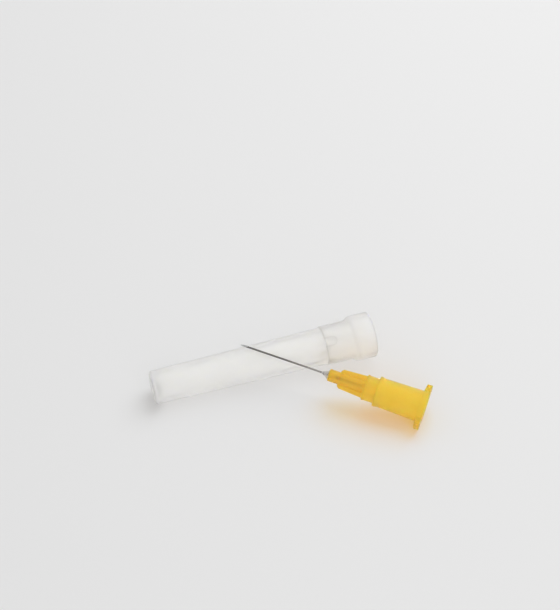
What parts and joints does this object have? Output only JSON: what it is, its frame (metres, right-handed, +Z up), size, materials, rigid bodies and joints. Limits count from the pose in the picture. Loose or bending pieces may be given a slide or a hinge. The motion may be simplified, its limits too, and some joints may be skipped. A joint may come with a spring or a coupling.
{
  "type": "hypodermic needle",
  "caption": "Luer hub needle with a lancet-ground steel cannula bonded into a finned amber hub, lying across its taken-off translucent protective sheath.",
  "frame": {"origin": "middle of the footprint on the table, under the sheath and the needle together", "axes": "+Z up from the table, +X along the sheath towards its open mouth, -Y towards the needle's hub"},
  "size_m": [0.0448, 0.025, 0.008],
  "materials": {
    "hub_plastic": "amber translucent polypropylene, softly glossy",
    "cannula_steel": "drawn stainless steel, ground point",
    "bond_adhesive": "cured clear adhesive, smooth",
    "sheath_plastic": "milky translucent polypropylene, satin"
  },
  "bodies": {
    "root": {"hub": "hub_plastic", "cannula": "cannula_steel", "bond": "bond_adhesive", "sheath": "sheath_plastic"}
  },
  "joints": []
}
